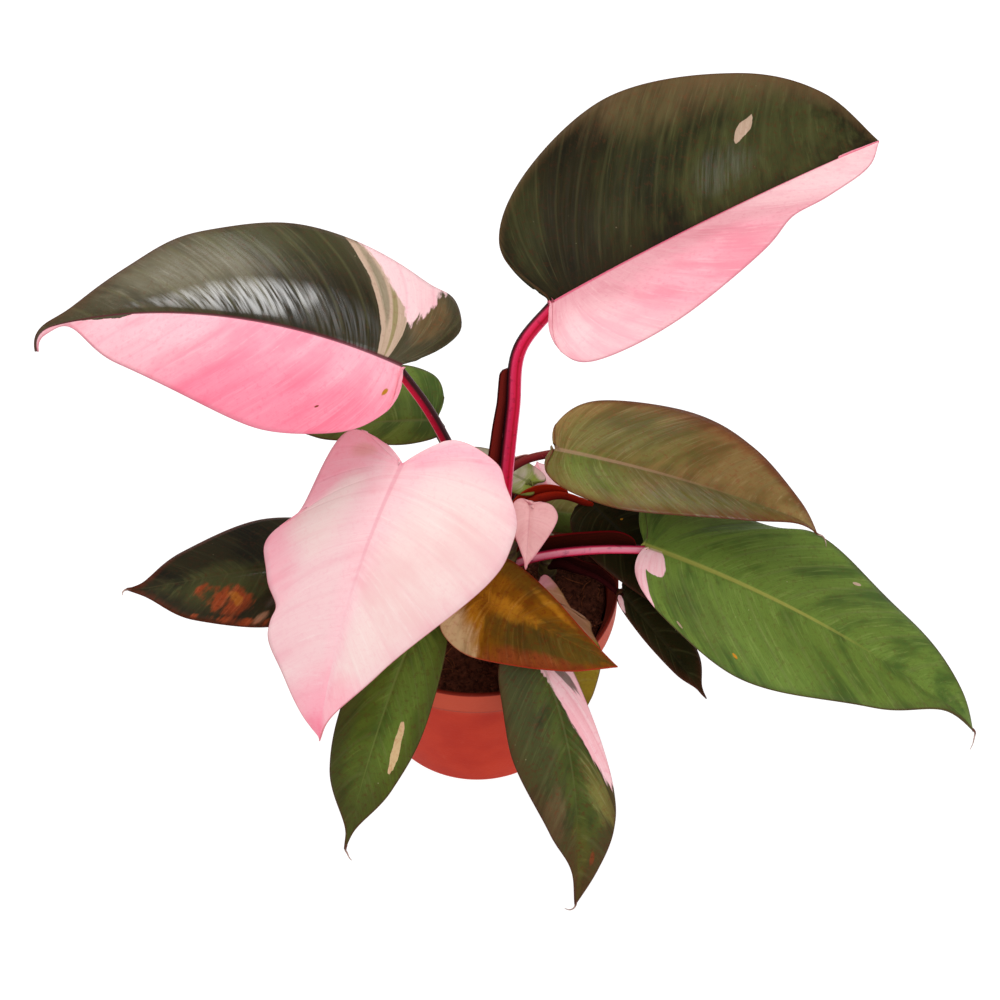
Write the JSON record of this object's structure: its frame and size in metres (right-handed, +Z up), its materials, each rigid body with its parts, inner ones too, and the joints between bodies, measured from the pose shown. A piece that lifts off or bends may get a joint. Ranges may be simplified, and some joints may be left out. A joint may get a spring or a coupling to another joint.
{
  "type": "potted variegated philodendron",
  "caption": "Leafy house plant with dark green and pink heart-shaped leaves on red stalks, standing in a round tapered plastic nursery pot.",
  "frame": {"origin": "centre of the pot's flat underside, on the surface that the pot stands on", "axes": "+Z up, +X to the right and +Y to the back, with the plant's front facing -Y"},
  "size_m": [0.3784, 0.2307, 0.274],
  "materials": {
    "pot_plastic": "satin terracotta red moulded plastic, with a slightly lighter collar",
    "peat": "moist, crumbly dark brown peat with reddish fibres",
    "stem_skin": "fleshy green-brown stem with brown leaf scars",
    "petiole_skin": "smooth fleshy leaf stalk, dark maroon with crimson and pink stripes",
    "leaf_half_pink": "glossy leaf, one half very dark green and the other pink",
    "leaf_pink": "satin pink leaf with darker pink veins",
    "leaf_olive": "glossy brownish olive leaf with maroon or orange margin",
    "leaf_green": "glossy mid green leaf with darker mottling and a brown margin",
    "leaf_dark": "glossy very dark olive leaf with a maroon margin"
  },
  "bodies": {
    "root": {"pot": "pot_plastic", "root_ball": "peat", "stem_main": "stem_skin", "stem_front": "stem_skin", "stem_right": "stem_skin", "petiole_upper_right": "petiole_skin", "petiole_upper_left": "petiole_skin", "petiole_front_pink": "petiole_skin", "petiole_right_upper": "petiole_skin", "petiole_right_lower": "petiole_skin", "petiole_back_left": "petiole_skin", "petiole_behind_right": "petiole_skin", "petiole_back_small": "petiole_skin", "petiole_back_pink": "petiole_skin", "petiole_left": "petiole_skin", "petiole_front_left": "petiole_skin", "petiole_front_right": "petiole_skin", "petiole_centre": "petiole_skin", "petiole_front_small": "petiole_skin", "petiole_right_small": "petiole_skin", "petiole_pink_heart": "petiole_skin", "petiole_back_low": "petiole_skin", "leaf_upper_right": "leaf_half_pink", "leaf_upper_left": "leaf_half_pink", "leaf_front_pink": "leaf_pink", "leaf_pink_heart": "leaf_pink", "leaf_back_pink": "leaf_pink", "leaf_back_small": "leaf_green", "leaf_right_upper": "leaf_olive", "leaf_centre": "leaf_olive", "leaf_right_lower": "leaf_green", "leaf_front_left": "leaf_green", "leaf_front_right": "leaf_green", "leaf_back_left": "leaf_green", "leaf_back_low": "leaf_green", "leaf_front_small": "leaf_green", "leaf_left": "leaf_dark", "leaf_behind_right": "leaf_dark", "leaf_right_small": "leaf_dark"}
  },
  "joints": []
}
